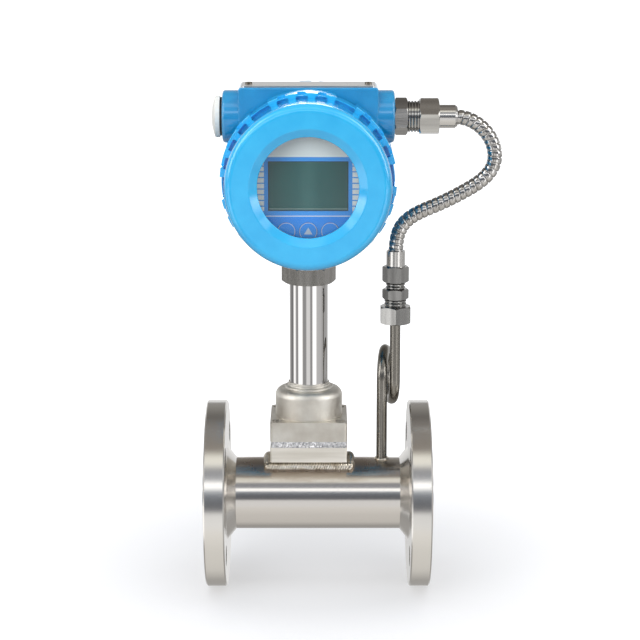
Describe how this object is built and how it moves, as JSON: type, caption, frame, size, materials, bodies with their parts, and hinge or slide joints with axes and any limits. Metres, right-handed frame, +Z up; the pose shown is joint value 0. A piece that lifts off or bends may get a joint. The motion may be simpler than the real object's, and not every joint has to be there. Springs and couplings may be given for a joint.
{
  "type": "vortex flow meter",
  "caption": "Flanged vortex flow meter: short pipe with a probe seat, polished stem, round display head with a window, and a hose to a pressure sensor on a coiled siphon.",
  "frame": {"origin": "centre of the inlet flange's raised face, 2 mm in front of the plane its bolt holes open on", "axes": "+X along the flow from inlet to outlet, +Z up the stem to the head, the display looks along -Y"},
  "size_m": [0.2585, 0.1725, 0.4471],
  "materials": {
    "turned_steel": "satin",
    "tube_steel": "satin",
    "weld_metal": "satin",
    "seat_steel": "satin",
    "cast_steel": "matte",
    "polished_steel": "polished",
    "fitting_steel": "satin",
    "hose_steel": "satin",
    "siphon_steel": "satin",
    "probe_steel": "satin",
    "screw_steel": "satin",
    "plate_steel": "satin",
    "blue_enamel": "gloss",
    "window_glass": "gloss",
    "black_rubber": "matte",
    "graphite": "matte",
    "white_nylon": "satin",
    "panel_film": "satin",
    "key_film": "satin",
    "lcd_glass": "gloss",
    "board_laminate": "satin",
    "terminal_plastic": "satin",
    "lead_jacket": "satin"
  },
  "bodies": {
    "meter": {"inlet_flange": "turned_steel", "outlet_flange": "turned_steel", "meter_tube": "tube_steel", "shedder_bar": "probe_steel", "sensor_boss": "seat_steel", "boss_weld": "weld_metal", "bonnet_weld": "weld_metal", "sensor_bonnet": "cast_steel", "bonnet_screws": "screw_steel", "probe_gasket": "graphite", "vortex_probe": "probe_steel", "stem_tube": "polished_steel", "stem_hex": "fitting_steel", "sensor_lead": "lead_jacket", "head_housing": "blue_enamel", "set_screw": "screw_steel", "ground_screw_outer": "screw_steel", "ground_screw_inner": "screw_steel", "face_panel": "panel_film", "lcd_module": "lcd_glass", "display_board": "board_laminate", "main_board": "board_laminate", "board_pillars": "screw_steel", "board_screws": "screw_steel", "terminal_block": "terminal_plastic", "terminal_screws": "screw_steel", "nameplate": "plate_steel", "nameplate_screws": "screw_steel", "gland_body": "fitting_steel", "gland_nut": "fitting_steel", "upper_ferrule": "fitting_steel", "flex_conduit": "hose_steel", "lower_ferrule": "fitting_steel", "pressure_sensor_body": "fitting_steel", "sensor_top_nut": "fitting_steel", "sensor_bottom_nut": "fitting_steel", "siphon_tube": "siphon_steel", "siphon_weld": "weld_metal"},
    "front_seal": {"front_cover_seal": "black_rubber"},
    "front_cover": {"front_cover": "blue_enamel", "cover_window": "window_glass", "window_gasket": "black_rubber", "window_retainer": "screw_steel"},
    "rear_seal": {"rear_cover_seal": "black_rubber"},
    "rear_cover": {"rear_cover": "blue_enamel"},
    "plug_washer": {"plug_seal": "black_rubber"},
    "plug": {"blanking_plug": "white_nylon"},
    "left_key": {"key_left": "key_film"},
    "up_key": {"key_up": "key_film"},
    "right_key": {"key_right": "key_film"}
  },
  "joints": [
    {"name": "front_cover_travel", "type": "slide", "parent": "meter", "child": "front_seal", "axis": [0, -1, 0], "range_m": [0, 0.0116]},
    {"name": "front_cover_spin", "type": "hinge", "parent": "front_seal", "child": "front_cover", "pos_m": [0.092, -0.06, 0.2864], "axis": [0, -1, 0], "range_deg": [0, 2070]},
    {"name": "rear_cover_travel", "type": "slide", "parent": "meter", "child": "rear_seal", "axis": [0, 1, 0], "range_m": [0, 0.0116]},
    {"name": "rear_cover_spin", "type": "hinge", "parent": "rear_seal", "child": "rear_cover", "pos_m": [0.092, 0.045, 0.2864], "axis": [0, 1, 0], "range_deg": [0, 2070]},
    {"name": "plug_travel", "type": "slide", "parent": "meter", "child": "plug_washer", "axis": [-1, 0, 0], "range_m": [0, 0.0093]},
    {"name": "plug_spin", "type": "hinge", "parent": "plug_washer", "child": "plug", "pos_m": [0.018, 0, 0.3352], "axis": [-1, 0, 0], "range_deg": [0, 2250]},
    {"name": "key_left_press", "type": "slide", "parent": "meter", "child": "left_key", "axis": [0, 1, 0], "range_m": [0, 0.0005], "stiffness_N_per_m": 600},
    {"name": "key_up_press", "type": "slide", "parent": "meter", "child": "up_key", "axis": [0, 1, 0], "range_m": [0, 0.0005], "stiffness_N_per_m": 600},
    {"name": "key_right_press", "type": "slide", "parent": "meter", "child": "right_key", "axis": [0, 1, 0], "range_m": [0, 0.0005], "stiffness_N_per_m": 600}
  ],
  "couplings": [
    {"joint": "front_cover_travel", "follows": "front_cover_spin", "m_per_rad": 0.00031831},
    {"joint": "rear_cover_travel", "follows": "rear_cover_spin", "m_per_rad": 0.00031831},
    {"joint": "plug_spin", "follows": "plug_travel", "rad_per_m": 4188.8}
  ]
}
